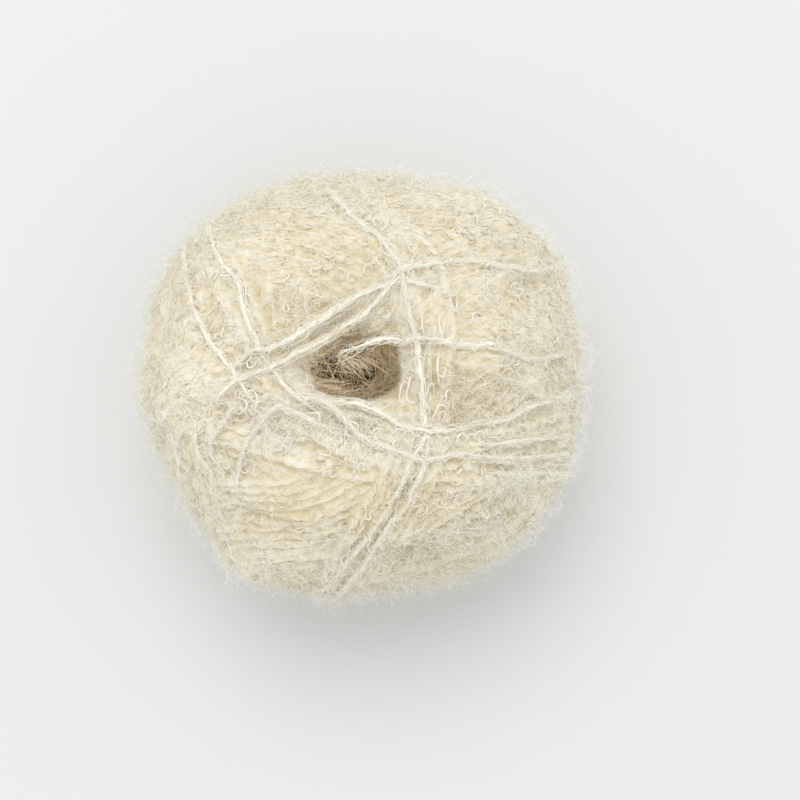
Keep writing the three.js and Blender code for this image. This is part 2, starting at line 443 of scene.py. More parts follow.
def lumps(p, size, seed):
    """Smooth noise from -1 to 1 at points p, size millimetres from lump to lump."""
    table = rng(seed).uniform(-1, 1, (24, 24, 24))
    q = p / size
    i = np.floor(q).astype(int)
    f = ease(q - i)
    out = np.zeros(len(p))
    for corner in range(8):
        w = np.ones(len(p))
        at = []
        for k in range(3):
            on = corner >> k & 1
            w = w * (f[:, k] if on else 1 - f[:, k])
            at.append((i[:, k] + on) % 24)
        out += w * table[at[0], at[1], at[2]]
    return out


def felt(d):
    """The height of the matted fibres that fill the gaps between the strands, in directions d."""
    near = (top_of_turns[cells(d)] + around(d, 0.3, 8, top_of_turns).sum(0)) / 9
    mid = around(d, 1.0, 12, top_of_turns).mean(0)
    p = CENTRE + d * 48
    h = np.maximum(0.8 * near + 0.2 * mid - 0.47, mid - 0.75)
    return h + 0.09 * lumps(p, 0.8, 11) + 0.10 * lumps(p, 2.3, 12) + 0.5 * nubbed(d)


NUBS = np.zeros((0, 3))  # the directions of the yarn's soft nubs


def nubbed(d):
    """How near directions d are to a nub, 1 on it."""
    out = np.zeros(len(d))
    for k in range(0, len(NUBS), 32):
        far = 1 - d @ NUBS[k : k + 32].T
        out = np.maximum(out, np.exp(-far * 2 * 48**2 / 0.75**2).max(1))
    return out


# Places of the photograph where the felt is browner, or whiter and fluffed up, and where painted shade darkens it, as
# the three wide patches low on the ball do: the place, how wide in pixels, how much.
PATCHES = [
    ((478, 398), 28, -0.4), ((500, 375), 14, -0.3), ((547, 384), 15, -0.45), ((366, 246), 15, -0.25), ((256, 302), 8, -0.25), ((384, 440), 7, -0.3),
    ((320, 382), 10, -0.3), ((310, 339), 13, -0.4), ((340, 322), 10, -0.3), ((352, 342), 9, -0.5), ((312, 365), 7, -0.5), ((368, 400), 7, -0.3), ((352, 440), 12, -0.2), ((428, 305), 10, -0.15), ((262, 268), 10, -0.15), ((300, 262), 8, -0.2),
    ((395, 225), 16, 0.25), ((350, 434), 30, 0.22), ((480, 292), 9, 0.3), ((285, 430), 24, 0.35), ((520, 480), 24, 0.25), ((409, 364), 9, 0.4),
    ((300, 500), 36, -0.8), ((380, 504), 32, -0.8), ((450, 502), 28, -0.8), ((250, 440), 16, -0.3), ((310, 255), 42, -0.25), ((430, 240), 16, -0.15), ((440, 400), 20, 0.1),
]


FLUFFED = [((393, 230), 13), ((352, 432), 30), ((480, 292), 7), ((285, 428), 20), ((300, 300), 22), ((205, 405), 22), ((250, 405), 14), ((445, 500), 14), ((505, 485), 20)]


MATTED = [((478, 398), 26), ((505, 378), 12), ((547, 384), 10)]


def patched(d):
    """How much whiter the patches make the felt in directions d; where below 0 the patches darken it, partly as painted
    shade.
    """
    out = np.zeros(len(d))
    for px, wide, much in PATCHES:
        apart = np.linalg.norm(d - on_ball([px])[0], axis=1) * 48 / PX
        out += much * np.exp(-((apart / wide) ** 2))
    return out


def visible(st, depth=0.5, reach=0.85):
    """Which samples of a strand aren't buried."""
    d, h = st["d"], st["h"]
    over = np.maximum(top_of_turns[cells(d)], around(d, reach, 6, top_of_turns).max(0))
    return (h + RISE > over - depth) & (round_hole(d) > 0.92)


def runs_of(mask, closed, grow=3, least=9):
    """(start, stop) of each run of true samples, grown a little. A run may pass the end of a closed strand."""
    m = mask.copy()
    for k in range(1, grow + 1):
        m |= np.roll(mask, k) if closed else np.concatenate([np.zeros(k, bool), mask[:-k]])
        m |= np.roll(mask, -k) if closed else np.concatenate([mask[k:], np.zeros(k, bool)])
    n = len(m)
    if m.all():
        return [(0, n + 1 if closed else n)]
    if not m.any():
        return []
    begin = int(np.argmin(m)) if closed else 0
    rolled = np.roll(m, -begin) if closed else m
    edge = np.diff(np.concatenate([[0], rolled.astype(int), [0]]))
    starts, stops = np.where(edge == 1)[0], np.where(edge == -1)[0]
    return [(a + begin, b + begin) for a, b in zip(starts, stops) if b - a >= least]


def transported(p, lengths, reference):
    """A unit vector across each point's tangent, carried along each polyline without twisting. p holds the polylines end to end."""
    starts = np.concatenate([[0], np.cumsum(lengths)[:-1]])
    t = np.zeros_like(p)
    t[1:-1] = p[2:] - p[:-2]
    t[starts] = p[starts + 1] - p[starts]
    ends = starts + lengths - 1
    t[ends] = p[ends] - p[ends - 1]
    t = unit(t)
    v = np.zeros_like(p)
    cur = reference - (reference * t[starts]).sum(-1, keepdims=True) * t[starts]
    v[starts] = cur = unit(cur)
    for k in range(1, int(lengths.max())):
        on = lengths > k
        at = starts[on] + k
        nxt = cur[on] - (cur[on] * t[at]).sum(-1, keepdims=True) * t[at]
        nxt = unit(nxt)
        v[at] = nxt
        cur[on] = nxt
    return t, v


def tubes(p, lengths, radius, sides, reference, flat=1.0):
    """Closed tubes along polylines p. radius is one number for each point. Returns vertices, face corners, face sizes, the point that each vertex belongs to, and map coordinates of each corner."""
    lengths = np.asarray(lengths)
    t, v = transported(p, lengths, reference)
    w = np.cross(t, v)
    a = np.arange(sides) * TAU / sides
    ring = (
        p[:, None]
        + (np.cos(a)[None, :, None] * v[:, None] + flat * np.sin(a)[None, :, None] * w[:, None])
        * radius[:, None, None]
    )
    verts = ring.reshape(-1, 3)
    starts = np.concatenate([[0], np.cumsum(lengths)[:-1]])
    point = np.arange(len(p))
    last = np.zeros(len(p), bool)
    last[starts + lengths - 1] = True
    seg = point[~last]
    k = np.arange(sides)
    k2 = (k + 1) % sides
    quads = np.stack(
        [
            seg[:, None] * sides + k,
            seg[:, None] * sides + k2,
            (seg[:, None] + 1) * sides + k2,
            (seg[:, None] + 1) * sides + k,
        ],
        -1,
    ).reshape(-1, 4)
    head = starts[:, None] * sides + k[::-1]
    tail = (starts + lengths - 1)[:, None] * sides + k
    corners = np.concatenate([quads.ravel(), head.ravel(), tail.ravel()])
    sizes = np.concatenate([np.full(len(quads), 4), np.full(2 * len(lengths), sides)])
    # each face has its own place on the map, and those along a tube lie in a row
    across = max(int(math.sqrt(len(seg) * sides) / 1.0), 1)
    rank = np.arange(len(seg))
    col, row = rank % across, rank // across
    rows = (int(row.max()) + 1) * sides + 1
    c = np.repeat(col, sides)
    r_ = np.repeat(row, sides) * sides + np.tile(k, len(seg))
    uv = np.stack(
        [np.stack([c, r_], -1), np.stack([c, r_ + 1], -1), np.stack([c + 1, r_ + 1], -1), np.stack([c + 1, r_], -1)], 1
    ).astype(float)
    uv = uv.reshape(-1, 2) / [across, rows]
    n_cap = 2 * len(lengths)
    cap_at = np.stack([(np.arange(n_cap) + 0.1) / (n_cap + 1), np.full(n_cap, (rows - 0.9) / rows)], -1)
    spread = np.stack([np.cos(a), np.sin(a)], -1) * [0.3 / (n_cap + 1), 0.3 / rows] + [0.4 / (n_cap + 1), 0.4 / rows]
    uv = np.vstack([uv, (cap_at[:, None] + spread[None]).reshape(-1, 2)])
    return verts, corners, sizes, np.repeat(point, sides), uv


def make_object(name, verts, corners, sizes, uv=None, values=None, smooth=True):
    """A mesh object from arrays, in millimetres. values are numbers for each vertex, by attribute name."""
    me = bpy.data.meshes.new(name)
    me.vertices.add(len(verts))
    me.vertices.foreach_set("co", (verts * MM).astype(np.float32).ravel())
    me.loops.add(len(corners))
    me.loops.foreach_set("vertex_index", corners.astype(np.int32))
    me.polygons.add(len(sizes))
    start = np.concatenate([[0], np.cumsum(sizes)[:-1]])
    me.polygons.foreach_set("loop_start", start.astype(np.int32))
    me.update(calc_edges=True)
    me.polygons.foreach_set("use_smooth", np.full(len(sizes), smooth))
    for key, val in (values or {}).items():
        at = me.attributes.new(key, "FLOAT", "POINT")
        at.data.foreach_set("value", np.asarray(val, np.float32))
    if uv is not None:
        layer = me.uv_layers.new(name="OFBake")
        layer.uv.foreach_set("vector", uv.astype(np.float32).ravel())
    me.validate(verbose=False)
    ob = bpy.data.objects.new(name, me)
    bpy.context.scene.collection.objects.link(ob)
    tris = int((sizes - 2).sum())
    print("piece", name, "triangles", tris)
    totals.append(tris)
    return ob


totals = []


def over_floor(p, least):
    """p with nothing lower than least."""
    p[:, 2] = np.maximum(p[:, 2], least)
    return p


# ------------------------------------------------------------------ the strands
def strand_runs(depth):
    """The stretches of the turns no deeper than depth under the outermost: directions, heights, the strand's number, how curly and how thick it is."""
    out = []
    for i, st in enumerate(strands):
        if st["kind"] != "turn":
            continue
        n = len(st["d"])
        for a, b in runs_of(visible(st, depth), st["closed"]):
            idx = np.arange(a, b) % n if st["closed"] else np.arange(a, min(b, n))
            out.append((st["d"][idx], st["h"][idx], i, st["curl"], st["slub"][idx]))
    return out


RUNS = strand_runs(0.5)
_r = rng(61)
_all = np.vstack([run[0] for run in RUNS])
NUBS = _all[_r.integers(0, len(_all), 420)]
NUBS = NUBS[(round_hole(NUBS) > 1.25) & (NUBS[:, 2] > -0.9)]


def finer(d, h, step, *more):
    """Directions and heights at even steps in millimetres, the way run so far, and whatever else goes with them."""
    p = place(d, h)
    s = np.concatenate([[0], np.cumsum(np.linalg.norm(np.diff(p, axis=0), axis=1))])
    n = max(int(round(s[-1] / step)), 3)
    at = np.linspace(0, s[-1], n + 1)
    dd = unit(np.stack([np.interp(at, s, d[:, k]) for k in range(3)], 1))
    return dd, np.interp(at, s, h), at, *(np.interp(at, s, m) for m in more)


class Lines:
    """Polylines with a radius at each point, to be made into tubes."""

    def __init__(self):
        self.p, self.r, self.ref = [], [], []

    def add(self, p, radius, ref):
        self.p.append(p)
        self.r.append(np.broadcast_to(radius, len(p)).astype(float))
        self.ref.append(ref)

    def parts(self, limit, sides):
        """The polylines, shared out so that no piece has more triangles than limit."""
        n = np.array([len(p) for p in self.p])
        tris = (n - 1) * sides * 2 + 2 * (sides - 2)
        pieces = max(1, math.ceil(tris.sum() / limit))
        edge = np.searchsorted(np.cumsum(tris), np.linspace(0, tris.sum(), pieces + 1))
        edge[0], edge[-1] = 0, len(n)
        for a, b in zip(edge[:-1], edge[1:]):
            yield np.vstack(self.p[a:b]), n[a:b], np.concatenate(self.r[a:b]), np.array(self.ref[a:b])


def shade_of(p):
    """Painted shade for points p, from 0 in the ball's deep gaps to 1 on its outermost strands: darker the lower a
    point lies under the strands around it, with the patches added.
    """
    d = unit(p - CENTRE)
    level = np.linalg.norm(p - CENTRE, axis=1) - form_radius(d) + INSET
    return np.clip(0.66 + (level - broad(d)) / 3.2 + np.clip(level - surface(d), -0.7, 0.4) * 0.75 + patched(d), 0, 1)


def tube_objects(name, lines, sides, material, limit=190000, flat=1.0, smooth=False):
    out = []
    parts = list(lines.parts(limit, sides))
    for k, (p, n, radius, ref) in enumerate(parts):
        p = over_floor(p.copy(), radius + 0.05)
        verts, corners, sizes, point, uv = tubes(p, n, radius, sides, ref, flat)
        ob = make_object(name if len(parts) == 1 else f"{name}_{k + 1}", verts, corners, sizes, uv, {"shade": shade_of(p)[point]}, smooth)
        ob.data.materials.append(material)
        out.append(finish(ob))
    return out


def turn_threads(step):
    """The thread that loops round each shown stretch of a turn."""
    out = Lines()
    for j, (d, h, i, curl, slub) in enumerate(RUNS):
        r = rng(5000 + i * 131 + j)
        td, th, ts, slub = finer(d, h, step if d[:, 2].mean() > -0.55 else 1.7 * step, slub)
        t, b = along(td, False)
        curl = curl * drift(r, ts, 7.0, 0.3, 1.25)
        wave = drift(r, ts, 2.4, 1.7, 4.4)
        psi = np.cumsum(TAU * np.gradient(ts) / wave) + r.uniform(0, TAU)
        wide = drift(r, ts, 1.7, 0.05, 0.95) * curl
        side = wide * np.sin(psi) + drift(r, ts, 2.9, -0.25, 0.25)
        ahead = drift(r, ts, 2.3, -0.1, 1.0) * curl * np.cos(psi)
        q = place(td, th) + b * side[:, None] + t * ahead[:, None]
        dq = unit(q - CENTRE)
        up = drift(r, ts, 2.1, -0.12, 0.34) * (0.3 + 0.7 * curl) * (0.5 + 0.5 * np.cos(psi + drift(r, ts, 3.0, -0.8, 0.8)))
        radius = (0.12 + 0.34 * slub**1.2) * drift(r, ts, 1.9, 0.7, 1.2)
        level = 0.7 * felt(dq) + 0.3 * (th + 0.1 + 0.25 * slub) - 0.45 * radius
        q = place(dq, level + up + drift(r, ts, 3.3, -0.1, 0.1))
        out.add(q, radius, td[0])
    return out


def line_threads(step=0.6):
    """The single strands of the photograph: a soft core, a thread looped loosely round it, and a bundle of fibres that frays."""
    core, fine, fibres = Lines(), Lines(), Lines()
    for i, st in enumerate(strands):
        if st["kind"] != "line":
            continue
        r = rng(9000 + i)
        d, h, s = finer(st["d"], st["h"], step)
        t, b = along(d, False)
        wide = st["radius"] + st["twist"]
        side = drift(r, s, 1.9, -0.3, 0.3) * wide
        ends = 1 - 0.85 * (1 - ease((np.minimum(s, s[-1] - s) + 0.3) / 5.5))
        start = d[0] * 41.5 / d[0, 2]
        frayed = 1 - ease((s + 1.0) / 9.0) if math.hypot(start[0] - OPEN_X, start[1] - OPEN_Y) < 10 else 0 * s
        ends = ends * (1 - 0.8 * frayed)
        lift = drift(r, s, 2.2, -0.15, 0.1)
        core.add(place(d, h + lift - 0.28) + b * side[:, None], 0.82 * st["radius"] * drift(r, s, 1.3, 0.5, 1.4) * ends, b[0])
        psi = np.cumsum(TAU * step / drift(r, s, 2.6, 1.8, 6.0)) + r.uniform(0, TAU)
        reach = wide * drift(r, s, 1.5, 0.4, 1.6)
        p = place(d, h - 0.2 + lift + reach * 0.4 * np.cos(psi)) + b * (reach * np.sin(psi) + side)[:, None]
        fine.add(p, 0.10 * drift(r, s, 1.2, 0.6, 1.4), d[0])
        for k in range(18):
            n = len(d)
            first, last = sorted((int(n * r.uniform(0, 0.5) ** 2 * 2), n - int(n * r.uniform(0, 0.5) ** 2 * 2)))
            if last - first < 8:
                continue
            part = np.append(np.arange(first, last - 1, 1 if n < 60 else 2), last - 1)
            sp = s[part] - s[first]
            aside = wide * (0.7 * r.normal() + drift(r, sp, 4.0, -0.85, 0.85) + drift(r, sp, 1.4, -0.35, 0.35)) * (1 + 0.9 * frayed[part])
            up = -0.3 + 0.25 * r.uniform() + drift(r, sp, 3.0, -0.1, 0.35) - 0.2 * np.abs(aside / wide)
            p = place(d[part], h[part] + lift[part] + up) + b[part] * (aside + side[part])[:, None]
            fibres.add(p, r.uniform(0.04, 0.075) * drift(r, sp, 2.0, 0.7, 1.3), d[first])
    return core, fine, fibres


# ------------------------------------------------------------------ materials
def wool(name, light, deep, roughness=0.9, sheen=0.05, bump=0.25, grain=2600.0, matted=0.0, hollow_shadow=None):
    """Cream wool whose colour carries painted shade: light on the outside and, as painted shade, deep in the gaps, with
    uneven dye and a fine grain of fibres, matted where it says so. The last colour, for the hollow, is a painted shadow
    where the shade is below 0.
    """
    m = bpy.data.materials.new(name)
    m.use_nodes = True
    nt = m.node_tree
    nt.nodes.clear()
    out = nt.nodes.new("ShaderNodeOutputMaterial")
    bs = nt.nodes.new("ShaderNodeBsdfPrincipled")
    bs.inputs["Roughness"].default_value = roughness
    bs.inputs["Specular IOR Level"].default_value = 0.1
    bs.inputs["Sheen Weight"].default_value = sheen
    bs.inputs["Sheen Roughness"].default_value = 0.5
    bs.inputs["Sheen Tint"].default_value = (1.0, 0.98, 0.93, 1.0)
    nt.links.new(bs.outputs[0], out.inputs[0])

    where = nt.nodes.new("ShaderNodeTexCoord")
    at = nt.nodes.new("ShaderNodeAttribute")
    at.attribute_name = "shade"

    def noise(scale, detail, distortion=0.0):
        n = nt.nodes.new("ShaderNodeTexNoise")
        n.inputs["Scale"].default_value = scale
        n.inputs["Detail"].default_value = detail
        n.inputs["Distortion"].default_value = distortion
        nt.links.new(where.outputs["Object"], n.inputs["Vector"])
        return n.outputs["Fac"]

    def math_node(op, a, b, clamp=False):
        n = nt.nodes.new("ShaderNodeMath")
        n.operation = op
        n.use_clamp = clamp
        for k, x in enumerate((a, b)):
            if isinstance(x, (int, float)):
                n.inputs[k].default_value = x
            else:
                nt.links.new(x, n.inputs[k])
        return n.outputs[0]

    def spread(x, by):
        return math_node("MULTIPLY", math_node("SUBTRACT", x, 0.5), by)

    fine = noise(grain, 2.0)
    # painted shade: the shade attribute moves the colour from the light one to the deep one; the noises add uneven dye
    # and grain
    mix_by = math_node("ADD", at.outputs["Fac"], spread(noise(95.0, 3.0), 0.9))
    mix_by = math_node("ADD", mix_by, spread(fine, 0.5))
    height = fine
    if matted > 0:  # curled fibres, as swirls in a strongly distorted noise
        fibres = noise(750.0, 2.0, 4.0)
        mix_by = math_node("ADD", mix_by, spread(fibres, 2.4 * matted))
        height = math_node("ADD", math_node("MULTIPLY", fibres, 1.6), fine)
    mix_by = math_node("ADD", mix_by, 0.0, True)
    mix = nt.nodes.new("ShaderNodeMix")
    mix.data_type = "RGBA"
    mix.inputs[6].default_value = (*deep, 1)
    mix.inputs[7].default_value = (*light, 1)
    nt.links.new(mix_by, mix.inputs[0])
    # a painted shadow colour for the hollow, mixed in where the shade is below 0
    if hollow_shadow is None:
        nt.links.new(mix.outputs[2], bs.inputs["Base Color"])
    else:
        down = nt.nodes.new("ShaderNodeMix")
        down.data_type = "RGBA"
        down.inputs[6].default_value = (*hollow_shadow, 1)
        nt.links.new(mix.outputs[2], down.inputs[7])
        nt.links.new(math_node("ADD", math_node("MULTIPLY", at.outputs["Fac"], 2.5), 1.0, True), down.inputs[0])
        nt.links.new(down.outputs[2], bs.inputs["Base Color"])

    b = nt.nodes.new("ShaderNodeBump")
    b.inputs["Strength"].default_value = bump
    b.inputs["Distance"].default_value = 0.00015
    nt.links.new(height, b.inputs["Height"])
    nt.links.new(b.outputs[0], bs.inputs["Normal"])
    return m


def finish(ob):
    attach(ob, "root")
    return ob


# the second colour of each wool is painted shade for its gaps, and the wound layers' last colour is a painted shadow in
# the hollow
wool_thread = wool("wool_thread", (0.776, 0.745, 0.65), (0.73, 0.655, 0.478), bump=0.2)
wool_line = wool("wool_line", (0.87, 0.847, 0.755), (0.84, 0.792, 0.67), bump=0.3)
wool_skin = wool("wool_layers", (0.76, 0.718, 0.6), (0.654, 0.566, 0.37), bump=0.35, grain=1800.0, matted=0.5, hollow_shadow=(0.25, 0.165, 0.08))
wool_pile = wool("wool_pile", (0.802, 0.781, 0.713), (0.777, 0.738, 0.614))
wool_fluff = wool("wool_fluff", (0.92, 0.895, 0.815), (0.9, 0.862, 0.755))
wool_haze = wool("wool_haze", (0.82, 0.804, 0.745), (0.80, 0.77, 0.675))
wool_matted = wool("wool_matted", (0.82, 0.775, 0.65), (0.79, 0.72, 0.54))
# a copy of the wool, browner and darker as painted shade, for what lies in the hollow
wool_inside_shaded = wool("wool_inside_shaded", (0.86, 0.75, 0.54), (0.38, 0.255, 0.12))

# ------------------------------------------------------------------ the wound layers under the outer turns
AXIS_XY = CENTRE[:2]


def hollow_shape(p):
    """Moves points of the round hollow, measured from the ball's middle in X and Y, to where it lies."""
    rnd = np.hypot(p[:, 0], p[:, 1])
    near = 1 - ease((rnd - RIM_START) / (HOLLOW_REACH - RIM_START))
    c, s = math.cos(HOLLOW_TURN), math.sin(HOLLOW_TURN)
    u = (p[:, 0] * c + p[:, 1] * s) * (1 + (STRETCH_X - 1) * near)
    v = (-p[:, 0] * s + p[:, 1] * c) * (1 + (STRETCH_Y - 1) * near)
    q = p.copy()
    q[:, 0] = u * c - v * s + HOLLOW_X * near
    q[:, 1] = u * s + v * c + HOLLOW_Y * near
    return q


def opened(p, azimuth):
    """Where points of the round hollow go at its mouth, so that its edge follows the opening."""
    rnd = np.hypot(p[:, 0], p[:, 1])
    near = 1 - ease((rnd - LIP_REACH) / (HOLLOW_REACH - LIP_REACH))
    reach = rnd + (round_table(OPEN_REACH, azimuth) - LIP_REACH) * near
    q = p.copy()
    q[:, 0] = reach * np.cos(azimuth) + OPEN_X * near
    q[:, 1] = reach * np.sin(azimuth) + OPEN_Y * near
    return q


LIP = math.radians(12.5)  # the skin turns into the hollow here, measured from the axis
LIP_REACH = 41.5 * math.tan(LIP)


def zipped(a0, na, b0, nb):
    """The triangles between a ring of na points and the next ring of nb points, and how far round each corner lies."""
    i = j = 0
    tris, at = [], []
    while i < na or j < nb:
        if j >= nb or (i < na and (i + 1) * nb <= (j + 1) * na):
            tris.append((a0 + i % na, a0 + (i + 1) % na, b0 + j % nb))
            at.append(((i / na, 0), ((i + 1) / na, 0), (j / nb, 1)))
            i += 1
        else:
            tris.append((a0 + i % na, b0 + (j + 1) % nb, b0 + j % nb))
            at.append(((i / na, 0), ((j + 1) / nb, 1), (j / nb, 1)))
            j += 1
    return tris, at


def layers_mesh(fine=0.46, coarse=1.35, down=22):
    """The closed skin of the wound layers, from the foot over the side and the rim into the hollow."""
    lip = LIP

    def pace(th):
        return fine + (coarse - fine) * ease((math.degrees(th) - 92) / 22)

    theta = [math.pi - 0.035]
    while theta[-1] - pace(theta[-1]) / 48 > lip:
        theta.append(theta[-1] - pace(theta[-1]) / 48)
    theta.append(lip)
    counts = [max(28, round(TAU * 48 * math.sin(th) / pace(th))) for th in theta]
    th = np.repeat(theta, counts)
    az = np.concatenate([np.arange(n) * TAU / n for n in counts])
    d = np.stack([np.sin(th) * np.cos(az), np.sin(th) * np.sin(az), np.cos(th)], -1)
    top = d[:, 2] > 0.5
    plane = d[top] * (41.5 / d[top, 2:])
    d[top] = unit(opened(plane, az[top]))
    outer = place(d, felt(d))
    # painted shade of the felt: darker in its valleys between strands and where it lies lower than the strands around;
    # the patches add browner felt and painted shade, the lumps uneven tone and the nubs whiter fluff
    shade = 0.56 + (felt(d) - around(d, 1.2, 10, top_of_turns).mean(0) + 0.6) * 1.1
    shade = shade + (surface(d) - broad(d)) / 4.5 + patched(d) + 0.08 * lumps(outer, 5.0, 21) + 0.2 * lumps(outer, 2.4, 22) + 0.3 * nubbed(d)
    # the hollow's wall
    around_ = counts[-1]
    azimuth = np.arange(around_) * TAU / around_
    wall = smooth_curve(HOLLOW, 12)
    wall = wall[wall[:, 1] < 77.0]
    pick = np.linspace(0, len(wall) - 1, down).astype(int)[:-1]
    inner = []
    for k in pick:
        lump = 1 + 0.05 * np.sin(3 * azimuth + k) + 0.03 * np.sin(7 * azimuth + 2.3 * k)
        ring = np.stack([wall[k, 0] * lump * np.cos(azimuth), wall[k, 0] * lump * np.sin(azimuth), np.full(around_, wall[k, 1])], -1)
        q = hollow_shape(ring)
        reach = round_table(OPEN_REACH, azimuth) * 0.97
        edge = np.stack([reach * np.cos(azimuth) + OPEN_X, reach * np.sin(azimuth) + OPEN_Y, ring[:, 2]], -1)
        w = float(ease((77.0 - wall[k, 1]) / 9.0))
        q = edge * (1 - w) + q * w
        q[:, :2] += AXIS_XY
        inner.append(q)
    counts = counts + [around_] * len(pick)
    verts = np.vstack([outer] + inner)
    verts[:, 2] = np.maximum(verts[:, 2], 0.35)
    starts = np.concatenate([[0], np.cumsum(counts)]).astype(int)
    rows = len(counts) + 2
    tris, uv = [], []
    for k in range(len(counts) - 1):
        t, at = zipped(int(starts[k]), counts[k], int(starts[k + 1]), counts[k + 1])
        tris += t
        uv += [[(u, (k + 1 + v) / rows) for u, v in three] for three in at]
    foot_at, floor_at = len(verts), len(verts) + 1
    verts = np.vstack([verts, [CENTRE[0], CENTRE[1], 0.35], [CENTRE[0] + HOLLOW_X, CENTRE[1] + HOLLOW_Y, 52.4]])
    n = counts[0]
    for j in range(n):
        tris.append((foot_at, (j + 1) % n, j))
        uv.append([((j + 0.5) / n, 0.1 / rows), ((j + 1) / n, 1 / rows), (j / n, 1 / rows)])
    n, last = counts[-1], int(starts[-2])
    for j in range(n):
        tris.append((floor_at, last + j, last + (j + 1) % n))
        uv.append([((j + 0.5) / n, (rows - 0.1) / rows), (j / n, (rows - 1) / rows), ((j + 1) / n, (rows - 1) / rows)])
    # painted shade down the hollow's wall: darker further down and towards +X, below 0 the painted shadow colour, which
    # the hollow's floor point gets too
    down_wall = np.linspace(0.1, -0.6, len(pick))[:, None] - 0.4 * np.cos(azimuth)[None].clip(-0.3, 1) ** 3
    shade = np.concatenate([np.clip(shade, 0, 1), down_wall.clip(-0.4, 1).ravel(), [0.4, -0.4]])
    return verts, np.array(tris).ravel(), np.full(len(tris), 3), np.array(uv).reshape(-1, 2), shade


verts, corners, sizes, uv, shade = layers_mesh()
layers = make_object("wound_layers", verts, corners, sizes, uv, {"shade": shade})
layers.data.materials.append(wool_skin)
finish(layers)
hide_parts("yarn_ball")

tube_objects("looped_thread", turn_threads(0.5), 4, wool_thread)
line_core, line_fine, line_fibres = line_threads()
tube_objects("single_strands", line_core, 6, wool_line, flat=0.6, smooth=True)
tube_objects("single_strand_loops", line_fine, 3, wool_line)
tube_objects("single_strand_fibres", line_fibres, 3, wool_line)


# ------------------------------------------------------------------ loops of the boucle that stand alone
def ring_loop(d, h, across, along_, thick, tilt, turn, seed, ends=0.12):
    """A round loop lying on the surface at direction d, a little open, its ends going down."""
    r = rng(seed)
    t = unit(np.cross([0.2, 0.31, 0.9], d))
    b = np.cross(d, t)
    e1 = t * math.cos(turn) + b * math.sin(turn)
    e2 = np.cross(d, e1)
    n = max(10, int(math.pi * (across + along_) / 2 / 0.42))
    a = np.linspace(-math.pi + ends, math.pi - ends, n)
    rough = 1 + 0.13 * np.cos(2 * a + r.uniform(0, TAU)) + 0.09 * np.cos(3 * a + r.uniform(0, TAU)) + 0.04 * np.cos(5 * a + r.uniform(0, TAU))
    x, y = np.cos(a) * along_ / 2 * rough, np.sin(a) * across / 2 * rough
    z = thick + 0.12 + (x + along_ / 2) * math.sin(tilt) + 0.1 * np.sin(a * 1.5)
    x = -along_ / 2 + (x + along_ / 2) * math.cos(tilt)
    z = z - 0.9 * ease((np.abs(a) - 2.4) / 0.7)
    base = place(d[None], np.array([h]))[0]
    return base + e1 * x[:, None] + e2 * y[:, None] + d * z[:, None]


def sprinkled(count, seed):
    """Loops on the shown turns, standing more or less upright."""
    out = Lines()
    r = rng(seed)
    d_all = np.vstack([run[0] for run in RUNS if run[3] > 0.55])
    pick = r.integers(0, len(d_all), count)
    for k, i in enumerate(pick):
        d = d_all[i]
        if round_hole(d[None])[0] < 1.15 or d[2] < -0.8:
            continue
        h = felt(d[None])[0] - 0.1
        size = r.uniform(1.2, 2.4) if r.random() < 0.85 else r.uniform(2.4, 3.8)
        p = ring_loop(d, h, size * r.uniform(0.5, 1.0), size, 0.12, r.uniform(0.0, 1.35) * (size < 2.4), r.uniform(0, TAU), seed + k)
        out.add(p, r.uniform(0.13, 0.2), d)
    return out


tube_objects("boucle_loops", sprinkled(1250, 4100), 3, wool_thread)


